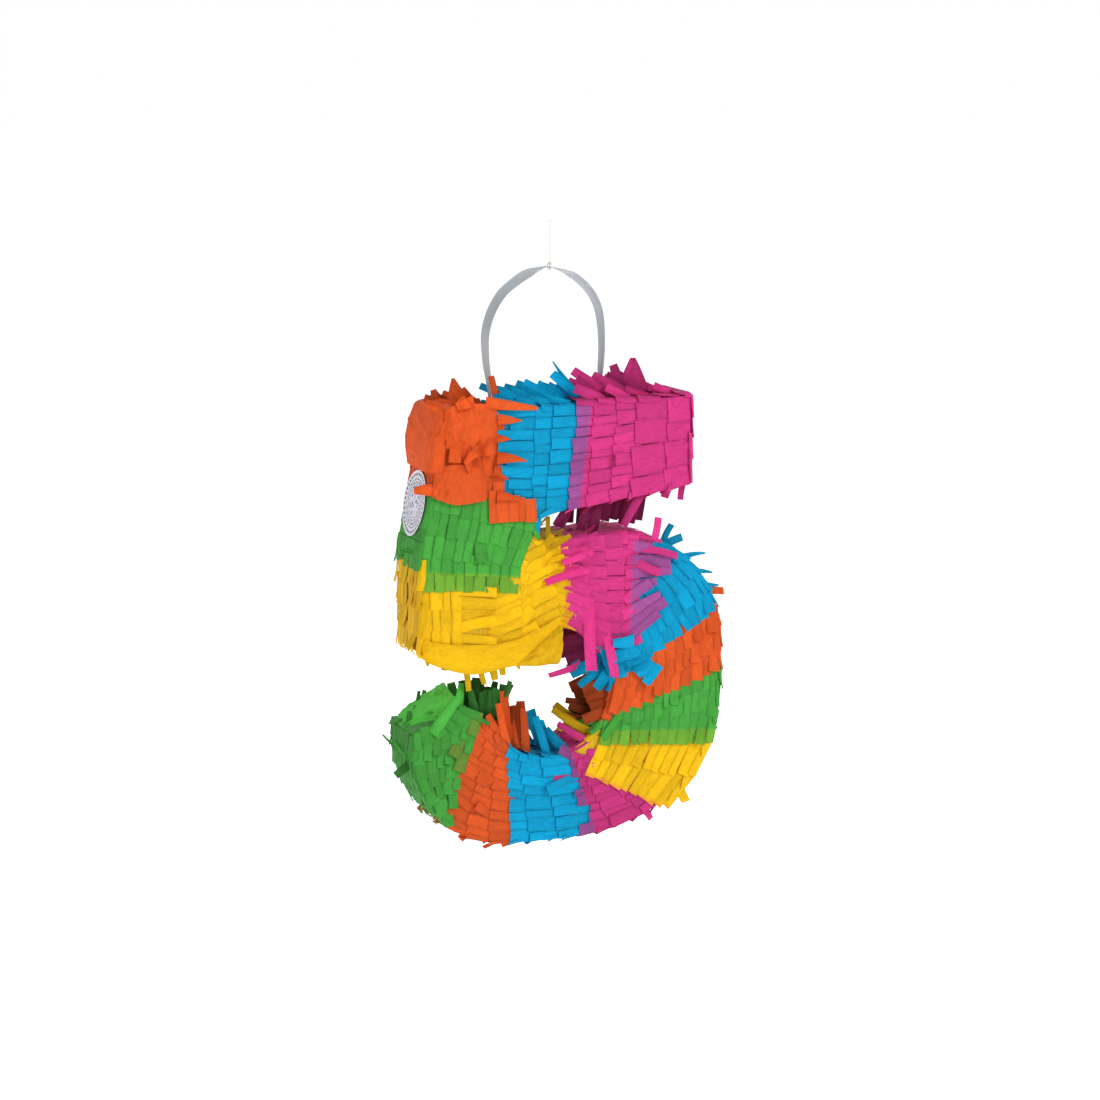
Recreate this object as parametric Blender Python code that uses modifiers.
"""Number-five pinata: a flat cardboard box shaped like a 5, covered with bands of
tissue fringe, hung by a ribbon loop from a thread.

Frame: metres, +Z up, the front of the 5 faces -Y and its stroke starts at the right
end of the top bar. The origin is the knot at the thread's upper end, which is above
the centre of mass to within 4 mm. Outline points below are in millimetres, X from the
thread's plumb line and Z from the lowest point of the cardboard 5.
"""

import math

import bpy
import bmesh
from mathutils import Vector

MM = 0.001

# Driving dimensions, millimetres.
BASE_DROP = 533.0        # from the hanging knot down to the foot of the cardboard 5
HALF_DEPTH = 30.0        # cardboard, front face to middle
PANEL = 2.5              # thickness of the front and back panels
WALL = 2.0               # thickness of the strips between the panels
GAP = 0.3                # clearance that separate pieces keep
TISSUE_GAP = 0.4         # cardboard to tissue
TISSUE = 1.0             # glued layers of fringe
ARC_STEP = 10.0          # degrees between points on a round stretch

# Corners of the cardboard outline.
TOP_LEFT = (-105.0, 373.0)
TOP_RIGHT = (116.5, 381.0)
BAR_TIP = (115.5, 305.5)
NOTCH_TOP = (-24.5, 285.0)
NOTCH_FOOT = (-24.5, 261.0)
ARM_TOP_END = (50.0, 264.0)
BASE_RIGHT = (-9.0, 0.0)
BASE_LEFT = (-49.0, 0.0)
HOOK_OUTER = (-133.2, 99.6)
HOOK_INNER = (-88.0, 120.5)
STEM_RIGHT_FOOT = (-46.5, 163.0)
STEM_LEFT_FOOT = (-126.0, 171.5)
STEM_BEND = (-126.0, 258.5)

# Round stretches: centre, radius, first and last angle in degrees, and fullness.
SHOULDER = ((50.0, 166.5), 97.5, 90.0, 0.0)
BOWL = ((-9.0, 156.5), 156.5, 0.0, -90.0, 2.4)
HEEL = ((-49.0, 85.5), 85.5, -90.0, -190.0)
HOLLOW = ((-14.0, 130.5), 59.5, -145.0, 82.0)

# Cuts across the stroke between two colours, from the side of the top, the stem's
# left and the bowl's hollow to the side of the notch and the bowl's outside.
CUTS = [
    [(132.5, 392.0), (132.5, 290.0)],
    [(14.5, 395.0), (2.5, 277.0)],
    [(-54.5, 392.0), (-54.5, 300.0), (-16.5, 276.0)],
    [(-140.5, 310.0), (-66.5, 302.0), (-52.5, 284.0), (-14.5, 273.0)],
    [(-142.5, 224.0), (-37.5, 217.0), (-37.5, 258.0), (-10.5, 270.0)],
    [(14.5, 172.0), (0.5, 274.0)],
    [(29.5, 151.0), (93.5, 272.0)],
    [(37.5, 127.0), (161.5, 202.0)],
    [(25.5, 95.0), (161.5, 141.0)],
    [(17.5, 90.0), (161.5, 70.0)],
    [(5.5, 84.0), (19.5, 54.0), (84.5, 27.0), (115.5, 2.0)],
    [(-10.5, 84.0), (-6.5, 40.0), (23.5, -12.0)],
    [(-50.5, 98.0), (-45.5, -12.0)],
    [(-70.5, 122.0), (-110.5, 12.0)],
    [(-78.5, 140.0), (-154.5, 108.0)],
]

# Each band: name, colour, and the extra corners of its region on the hollow's side
# (walked back towards the band's first cut) and on the outer side (walked forward).
BANDS = [
    ("fringe_pink_bar", "pink", [], []),
    ("fringe_blue_bar", "blue", [], []),
    ("fringe_orange_corner", "orange", [(-127.5, 390.0)], []),
    ("fringe_green_stem", "green", [], []),
    ("fringe_yellow_stem", "yellow", [(-52.5, 152.0), (-140.5, 160.0)], []),
    ("fringe_pink_arm", "pink", [], []),
    ("fringe_blue_shoulder", "blue", [], [(147.5, 262.0)]),
    ("fringe_orange_bowl", "orange", [], []),
    ("fringe_green_bowl", "green", [], []),
    ("fringe_yellow_bowl", "yellow", [], []),
    ("fringe_pink_base", "pink", [], [(97.5, -12.0)]),
    ("fringe_blue_base", "blue", [], []),
    ("fringe_orange_hook", "orange", [], [(-92.5, -8.0)]),
    ("fringe_green_hook", "green", [], [(-154.5, 50.0)]),
]

# Filler hatch in the back, at the foot of the stem: lowest and highest corner.
HATCH_LOW = (-108.5, 176.0)
HATCH_HIGH = (-50.5, 216.0)

# Ribbon loop: its route from the left hole over the thread to the right hole,
# X and the depth below the hanging knot.
RIBBON_ROUTE = [
    (-55.0, -149.5), (-56.0, -134.0), (-58.4, -117.0), (-59.1, -98.0),
    (-56.0, -83.0), (-50.3, -70.0), (-42.3, -59.0), (-32.0, -51.0),
    (-22.0, -44.8), (-11.0, -40.4), (0.0, -38.3), (18.0, -44.8),
    (30.0, -53.7), (38.5, -63.5), (44.3, -75.5), (46.8, -90.0),
    (47.4, -107.0), (46.9, -121.0), (46.2, -135.0), (46.0, -149.5),
]
RIBBON_WIDTH = 12.0
RIBBON_THICK = 0.8
RIBBON_END_WIDTH = 5.0      # gathered where it enters the box
RIBBON_TIED_WIDTH = 6.5     # pinched where the thread holds it
GATHER_LENGTH = 26.0
PINCH_LENGTH = 24.0
LEFT_TOP_TWIST, RIGHT_TOP_TWIST = -32.0, 27.0  # degrees, near the tie
LEFT_TWIST = -9.0           # degrees that the flat of the ribbon turns at each foot
RIGHT_TWIST = 2.0
STEPS_PER_SPAN = 4

RIBBON_BUNDLE_R = 2.2
RIBBON_KNOT_R = 5.0
WALL_HOLE_R = 3.5
TISSUE_HOLE_R = 4.6

THREAD_R = 0.7
THREAD_LENGTH = 31.0
TOP_KNOT_R = 1.6
TIE_KNOT_R = 1.9
TIE_RISE = 3.2              # centre of the tied knot above the ribbon
TIE_HALF_WIDTH = 4.9        # centre line of the thread's turn round the ribbon
TIE_HALF_HEIGHT = 2.6

STICKER_R = 28.5
STICKER_THICK = 0.4
STICKER_HEIGHT = 295.0      # its centre, on the slanted side of the stem

COLORS = {
    "pink": (0.72, 0.05, 0.27),
    "blue": (0.0, 0.38, 0.65),
    "orange": (0.78, 0.13, 0.03),
    "green": (0.08, 0.46, 0.07),
    "yellow": (0.91, 0.54, 0.01),
    "cardboard": (0.42, 0.27, 0.15),
    "ribbon": (0.42, 0.46, 0.5),
    "thread": (0.8, 0.76, 0.62),
    "label": (0.85, 0.85, 0.86),
}


# ---------------------------------------------------------------- scene and materials
def clear_scene():
    for obj in list(bpy.data.objects):
        bpy.data.objects.remove(obj, do_unlink=True)


def new_collection(name):
    collection = bpy.data.collections.new(name)
    bpy.context.scene.collection.children.link(collection)
    return collection


def make_material(name, rgb, roughness):
    material = bpy.data.materials.new(name)
    material.use_nodes = True
    shader = material.node_tree.nodes["Principled BSDF"]
    shader.inputs["Base Color"].default_value = (*rgb, 1.0)
    shader.inputs["Roughness"].default_value = roughness
    shader.inputs["Metallic"].default_value = 0.0
    return material


def make_materials():
    rough = {"ribbon": 0.35, "cardboard": 0.9, "label": 0.5}
    return {name: make_material(name, rgb, rough.get(name, 0.8)) for name, rgb in COLORS.items()}


def add_object(name, mesh, collection, material=None):
    obj = bpy.data.objects.new(name, mesh)
    collection.objects.link(obj)
    if material is not None:
        mesh.materials.clear()
        mesh.materials.append(material)
    return obj


def mark_cutter(obj):
    obj.hide_render = True
    obj.display_type = "WIRE"


# ---------------------------------------------------------------- outlines in the X-Z plane
def arc(centre, radius, first, last, fullness=2.0):
    """Points round a stretch: a circle at fullness 2, with fuller corners above that."""
    count = max(2, round(abs(last - first) / ARC_STEP)) + 1
    points = []
    for i in range(count):
        angle = math.radians(first + (last - first) * i / (count - 1))
        c, s = math.cos(angle), math.sin(angle)
        reach = radius / (abs(c) ** fullness + abs(s) ** fullness) ** (1 / fullness)
        points.append((centre[0] + reach * c, centre[1] + reach * s))
    return points


def outline_runs():
    """The outline as one run of points for each wall strip, clockwise from the top."""
    shoulder, bowl, heel, hollow = arc(*SHOULDER), arc(*BOWL), arc(*HEEL), arc(*HOLLOW)
    return [
        ("wall_top", [TOP_LEFT, TOP_RIGHT]),
        ("wall_bar_end", [TOP_RIGHT, BAR_TIP]),
        ("wall_bar_underside", [BAR_TIP, NOTCH_TOP]),
        ("wall_notch", [NOTCH_TOP, NOTCH_FOOT]),
        ("wall_shoulder", [NOTCH_FOOT, ARM_TOP_END] + shoulder[1:]),
        ("wall_bowl_outer", [shoulder[-1]] + bowl + [BASE_LEFT]),
        ("wall_heel", [BASE_LEFT] + heel[1:-1] + [HOOK_OUTER]),
        ("wall_hook_end", [HOOK_OUTER, HOOK_INNER]),
        ("wall_bowl_inner", [HOOK_INNER] + hollow + [STEM_RIGHT_FOOT]),
        ("wall_stem_foot", [STEM_RIGHT_FOOT, STEM_LEFT_FOOT]),
        ("wall_stem_left", [STEM_LEFT_FOOT, STEM_BEND, TOP_LEFT]),
    ]


def full_outline():
    points = []
    for _, run in outline_runs():
        points.extend(run[:-1])
    return points


def corner_shift(before, here, after, distance):
    """Where a corner goes when both its edges move to their left by the distance."""
    first = (Vector(here) - Vector(before)).normalized()
    second = (Vector(after) - Vector(here)).normalized()
    left_a, left_b = Vector((-first.y, first.x)), Vector((-second.y, second.x))
    middle = (left_a + left_b).normalized()
    return tuple(Vector(here) + middle * (distance / middle.dot(left_a)))


def offset_loop(points, distance):
    """A closed outline moved to the left of its direction, which is out of the 5."""
    count = len(points)
    return [
        corner_shift(points[i - 1], points[i], points[(i + 1) % count], distance)
        for i in range(count)
    ]


def is_clockwise(points):
    area = sum(a[0] * b[1] - b[0] * a[1] for a, b in zip(points, points[1:] + points[:1]))
    return area < 0


def pull_in(start, towards, distance):
    a, b = Vector(start), Vector(towards)
    return tuple(a + (b - a).normalized() * distance)


# ---------------------------------------------------------------- solids
def curve_to_mesh_object(name, curve, collection, rotation):
    """A curve object made a mesh, with its loose caps welded."""
    source = bpy.data.objects.new(name + "_curve", curve)
    collection.objects.link(source)
    source.rotation_euler = rotation
    bpy.context.view_layer.update()
    graph = bpy.context.evaluated_depsgraph_get()
    mesh = bpy.data.meshes.new_from_object(source.evaluated_get(graph))
    work = bmesh.new()
    work.from_mesh(mesh)
    bmesh.ops.remove_doubles(work, verts=work.verts, dist=0.00001)
    bmesh.ops.recalc_face_normals(work, faces=work.faces)
    work.to_mesh(mesh)
    work.free()
    obj = add_object(name, mesh, collection)
    obj.matrix_world = source.matrix_world
    bpy.data.objects.remove(source, do_unlink=True)
    return obj


def flat_piece(name, outlines, low_y, high_y, collection, material=None):
    """A plate cut to an outline, with any further outlines as holes, standing in X-Z."""
    curve = bpy.data.curves.new(name, "CURVE")
    curve.dimensions = "2D"
    curve.fill_mode = "BOTH"
    curve.extrude = (high_y - low_y) / 2 * MM
    for outline in outlines:
        spline = curve.splines.new("POLY")
        spline.points.add(len(outline) - 1)
        for point, (x, z) in zip(spline.points, outline):
            point.co = (x * MM, z * MM, 0.0, 1.0)
        spline.use_cyclic_u = True
    obj = curve_to_mesh_object(name, curve, collection, (math.radians(90), 0.0, 0.0))
    obj.location = (0.0, (low_y + high_y) / 2 * MM, -BASE_DROP * MM)
    if material is not None:
        obj.data.materials.append(material)
    return obj


def tube(name, points, radius, collection, material, closed=False):
    curve = bpy.data.curves.new(name, "CURVE")
    curve.dimensions = "3D"
    curve.bevel_depth = radius * MM
    curve.bevel_resolution = 2
    curve.use_fill_caps = not closed
    spline = curve.splines.new("POLY")
    spline.points.add(len(points) - 1)
    for point, place in zip(spline.points, points):
        point.co = (*(value * MM for value in place), 1.0)
    spline.use_cyclic_u = closed
    obj = curve_to_mesh_object(name, curve, collection, (0.0, 0.0, 0.0))
    obj.data.materials.append(material)
    obj.data.shade_smooth()
    return obj


def ball(name, centre, radius, collection, material=None):
    mesh = bpy.data.meshes.new(name)
    work = bmesh.new()
    bmesh.ops.create_uvsphere(work, u_segments=12, v_segments=8, radius=radius * MM)
    work.to_mesh(mesh)
    work.free()
    obj = add_object(name, mesh, collection, material)
    obj.location = [value * MM for value in centre]
    mesh.shade_smooth()
    return obj


def rod(name, centre, radius, length, sides, collection, material=None):
    mesh = bpy.data.meshes.new(name)
    work = bmesh.new()
    bmesh.ops.create_cone(
        work, cap_ends=True, segments=sides, radius1=radius * MM, radius2=radius * MM, depth=length * MM
    )
    work.to_mesh(mesh)
    work.free()
    obj = add_object(name, mesh, collection, material)
    obj.location = [value * MM for value in centre]
    return obj


def block(name, low, high, collection):
    mesh = bpy.data.meshes.new(name)
    work = bmesh.new()
    bmesh.ops.create_cube(work, size=1.0)
    bmesh.ops.scale(work, vec=[(b - a) * MM for a, b in zip(low, high)], verts=work.verts)
    work.to_mesh(mesh)
    work.free()
    obj = add_object(name, mesh, collection)
    obj.location = [(a + b) / 2 * MM for a, b in zip(low, high)]
    return obj


def add_boolean(obj, other, operation):
    modifier = obj.modifiers.new(operation.lower(), "BOOLEAN")
    modifier.operation = operation
    modifier.solver = "EXACT"
    modifier.object = other


# ---------------------------------------------------------------- cardboard
def add_panels(parts, material):
    outline = full_outline()
    hatch = [
        HATCH_LOW,
        (HATCH_LOW[0], HATCH_HIGH[1]),
        HATCH_HIGH,
        (HATCH_HIGH[0], HATCH_LOW[1]),
    ]
    inner = HALF_DEPTH - PANEL
    flat_piece("front_panel", [outline], -HALF_DEPTH, -inner, parts, material)
    flat_piece("back_panel", [outline, hatch], inner, HALF_DEPTH, parts, material)


def strip_outline(run, before, after):
    """A wall strip in plan: the outer run, and the same run a wall thickness inside,
    mitred to its neighbours with half a gap at each end."""
    inner = []
    around = [before] + run + [after]
    for i in range(1, len(around) - 1):
        inner.append(corner_shift(around[i - 1], around[i], around[i + 1], -WALL))
    outer = list(run)
    outer[0], outer[-1] = pull_in(run[0], run[1], GAP), pull_in(run[-1], run[-2], GAP)
    inner[0], inner[-1] = pull_in(inner[0], inner[1], GAP), pull_in(inner[-1], inner[-2], GAP)
    return outer + inner[::-1]


def add_walls(parts, material):
    runs = outline_runs()
    half = HALF_DEPTH - PANEL - GAP
    for i, (name, run) in enumerate(runs):
        before = runs[i - 1][1][-2]
        after = runs[(i + 1) % len(runs)][1][1]
        flat_piece(name, [strip_outline(run, before, after)], -half, half, parts, material)


def add_flap(parts, materials):
    """The filler flap, creased along its upper edge, and the fringe glued over it."""
    low = (HATCH_LOW[0] + GAP, HATCH_LOW[1] + GAP)
    high = (HATCH_HIGH[0] - GAP, HATCH_HIGH[1] - GAP)
    outline = [low, (low[0], high[1]), high, (high[0], low[1])]
    inner = HALF_DEPTH - PANEL
    flat_piece("filler_flap", [outline], inner, HALF_DEPTH, parts, materials["cardboard"])
    skin = HALF_DEPTH + TISSUE_GAP
    flat_piece("filler_flap_fringe", [outline], skin, skin + TISSUE, parts, materials["yellow"])


# ---------------------------------------------------------------- tissue bands
def band_region(index, outer_side, hollow_side):
    first, last = CUTS[index], CUTS[index + 1]
    region = list(first) + list(outer_side) + list(reversed(last)) + list(hollow_side)
    if not is_clockwise(region):
        region.reverse()
    return offset_loop(region, -GAP / 2)


def hole_cutters(cutters):
    """Cutters for the ribbon's two holes in the top and for the hatch in the tissue."""
    found = {"wall": [], "tissue": []}
    for side, (x, _) in (("left", RIBBON_ROUTE[0]), ("right", RIBBON_ROUTE[-1])):
        for kind, radius in (("wall", WALL_HOLE_R), ("tissue", TISSUE_HOLE_R)):
            cutter = rod(f"cut_{kind}_{side}", (x, 0.0, top_height(x)), radius, 20.0, 16, cutters)
            mark_cutter(cutter)
            found[kind].append(cutter)
    low = (HATCH_LOW[0], HALF_DEPTH - 1.0, HATCH_LOW[1] - BASE_DROP)
    high = (HATCH_HIGH[0], HALF_DEPTH + 6.0, HATCH_HIGH[1] - BASE_DROP)
    found["hatch"] = block("cut_hatch", low, high, cutters)
    mark_cutter(found["hatch"])
    return found


def add_bands(parts, cutters, materials, holes):
    outline = full_outline()
    reach = HALF_DEPTH + TISSUE_GAP
    outside = offset_loop(outline, TISSUE_GAP + TISSUE)
    inside = offset_loop(outline, TISSUE_GAP)
    core = flat_piece("cut_core", [inside], -reach, reach, cutters)
    mark_cutter(core)
    skin = flat_piece("cut_skin", [outside], -reach - TISSUE, reach + TISSUE, cutters)
    mark_cutter(skin)
    for i, (name, color, hollow_side, outer_side) in enumerate(BANDS):
        region = band_region(i, outer_side, hollow_side)
        wedge = flat_piece("cut_" + name, [region], -reach - 10.0, reach + 10.0, cutters)
        mark_cutter(wedge)
        band = add_object(name, skin.data.copy(), parts, materials[color])
        band.matrix_world = skin.matrix_world
        band.location = skin.location
        add_boolean(band, core, "DIFFERENCE")
        add_boolean(band, wedge, "INTERSECT")
        if i < 3:
            for cutter in holes["tissue"]:
                add_boolean(band, cutter, "DIFFERENCE")
        if name == "fringe_yellow_stem":
            add_boolean(band, holes["hatch"], "DIFFERENCE")


# ---------------------------------------------------------------- ribbon
def smooth_route(points, steps):
    """Catmull-Rom points through the route's own points, ends included."""
    path = [Vector(point) for point in points]
    padded = [2 * path[0] - path[1]] + path + [2 * path[-1] - path[-2]]
    found = []
    for i in range(len(path) - 1):
        a, b, c, d = padded[i : i + 4]
        for step in range(steps):
            t = step / steps
            found.append(
                0.5 * (2 * b + (c - a) * t + (2 * a - 5 * b + 4 * c - d) * t**2 + (3 * b - a - 3 * c + d) * t**3)
            )
    found.append(path[-1])
    return found


def ease(value):
    clipped = min(1.0, max(0.0, value))
    return clipped * clipped * (3 - 2 * clipped)


def ribbon_sections(path):
    """Half width and twist at each point of the ribbon's path."""
    along = [0.0]
    for a, b in zip(path, path[1:]):
        along.append(along[-1] + (b - a).length)
    total = along[-1]
    apex = min(range(len(path)), key=lambda i: abs(path[i].x))
    found = []
    for distance in along:
        ends = ease(min(distance, total - distance) / GATHER_LENGTH)
        tied = ease(abs(distance - along[apex]) / PINCH_LENGTH)
        width = RIBBON_END_WIDTH + (RIBBON_WIDTH - RIBBON_END_WIDTH) * ends
        width = RIBBON_TIED_WIDTH + (width - RIBBON_TIED_WIDTH) * tied
        if distance < along[apex]:
            twist = LEFT_TOP_TWIST + (LEFT_TWIST - LEFT_TOP_TWIST) * (1 - ease(distance / along[apex]))
        else:
            past = ease((distance - along[apex]) / (total - along[apex]))
            twist = RIGHT_TOP_TWIST + (RIGHT_TWIST - RIGHT_TOP_TWIST) * past
        twist *= tied
        found.append((width / 2, math.radians(twist)))
    return found


def round_foot(place, section):
    """Sections that round the ribbon's end about its pivot, from the tip up."""
    half, twist = section
    found = []
    for degrees in (88.0, 65.0, 40.0, 20.0):
        angle = math.radians(degrees)
        found.append((Vector((place.x, place.y - half * math.sin(angle))), (half * math.cos(angle), twist)))
    return found


def add_ribbon_loop(parts, material):
    path = smooth_route(RIBBON_ROUTE, STEPS_PER_SPAN)
    sections = ribbon_sections(path)
    left, right = round_foot(path[0], sections[0]), round_foot(path[-1], sections[-1])[::-1]
    path = [place for place, _ in left] + path + [place for place, _ in right]
    sections = [section for _, section in left] + sections + [section for _, section in right]
    mesh = bpy.data.meshes.new("ribbon_loop")
    work = bmesh.new()
    edges = []
    for i, (place, (half, twist)) in enumerate(zip(path, sections)):
        ahead = path[min(i + 1, len(path) - 1)] - path[max(i - 1, 0)]
        ahead.normalize()
        across = Vector((ahead.y * math.sin(twist), math.cos(twist), -ahead.x * math.sin(twist)))
        centre = Vector((place.x, 0.0, place.y))
        edges.append([work.verts.new((centre + across * side * half) * MM) for side in (-1, 1)])
    for (a, b), (c, d) in zip(edges, edges[1:]):
        work.faces.new((a, b, d, c))
    work.to_mesh(mesh)
    work.free()
    obj = add_object("ribbon_loop", mesh, parts, material)
    solid = obj.modifiers.new("thickness", "SOLIDIFY")
    solid.thickness = RIBBON_THICK * MM
    solid.offset = 0.0
    mesh.shade_smooth()


def top_height(x):
    """Height of the cardboard's top at x, below the hanging knot."""
    share = (x - TOP_LEFT[0]) / (TOP_RIGHT[0] - TOP_LEFT[0])
    return TOP_LEFT[1] + (TOP_RIGHT[1] - TOP_LEFT[1]) * share - BASE_DROP


def add_ribbon_ends(parts, cutters, material):
    """The ribbon's gathered ends: through the top wall, knotted on its inner side."""
    for side, (x, z) in (("left", RIBBON_ROUTE[0]), ("right", RIBBON_ROUTE[-1])):
        knot_z = top_height(x) - WALL - RIBBON_KNOT_R - 1.0
        top = z - RIBBON_END_WIDTH / 2 - GAP
        middle = (top + knot_z) / 2
        end = rod(f"ribbon_end_{side}", (x, 0.0, middle), RIBBON_BUNDLE_R, top - knot_z, 12, parts, material)
        knot = ball(f"knot_{side}", (x, 0.0, knot_z), RIBBON_KNOT_R, cutters)
        mark_cutter(knot)
        add_boolean(end, knot, "UNION")


# ---------------------------------------------------------------- thread
def add_thread(parts, cutters, material):
    """The thread with a knot at its top, tied round the ribbon at its foot."""
    ribbon_z = min(RIBBON_ROUTE, key=lambda point: abs(point[0]))[1]
    turn = []
    for i in range(16):
        angle = 2 * math.pi * i / 16
        turn.append((0.0, TIE_HALF_WIDTH * math.cos(angle), ribbon_z + TIE_HALF_HEIGHT * math.sin(angle)))
    tie = tube("thread_tie", turn, THREAD_R, parts, material, closed=True)
    knot = ball("tie_knot", (0.0, 0.0, ribbon_z + TIE_RISE), TIE_KNOT_R, cutters)
    mark_cutter(knot)
    add_boolean(tie, knot, "UNION")
    foot = ribbon_z + TIE_RISE + TIE_KNOT_R + GAP
    steps = 10
    line = [(0.0, 0.0, foot + THREAD_LENGTH * i / steps) for i in range(steps + 1)]
    tube("thread", line, THREAD_R, parts, material)
    ball("thread_top_knot", (0.0, 0.0, 0.0), TOP_KNOT_R, parts, material)


# ---------------------------------------------------------------- label
def add_sticker(parts, material):
    """A round label flat on the slanted left side, over the tissue."""
    foot, top = Vector(STEM_BEND), Vector(TOP_LEFT)
    up = (top - foot).normalized()
    outward = Vector((-up.y, up.x))
    place = foot + up * ((STICKER_HEIGHT - foot.y) / up.y)
    place += outward * (TISSUE_GAP + TISSUE + GAP + STICKER_THICK / 2)
    centre = (place.x, 0.0, place.y - BASE_DROP)
    label = rod("sticker", centre, STICKER_R, STICKER_THICK, 40, parts, material)
    label.rotation_euler = (0.0, math.atan2(outward.x, outward.y), 0.0)


def main():
    clear_scene()
    parts = new_collection("number_five_pinata")
    cutters = new_collection("cutters")
    materials = make_materials()
    holes = hole_cutters(cutters)
    add_panels(parts, materials["cardboard"])
    add_walls(parts, materials["cardboard"])
    for cutter in holes["wall"]:
        add_boolean(bpy.data.objects["wall_top"], cutter, "DIFFERENCE")
    add_flap(parts, materials)
    add_bands(parts, cutters, materials, holes)
    add_ribbon_loop(parts, materials["ribbon"])
    add_ribbon_ends(parts, cutters, materials["ribbon"])
    add_thread(parts, cutters, materials["thread"])
    add_sticker(parts, materials["label"])


main()
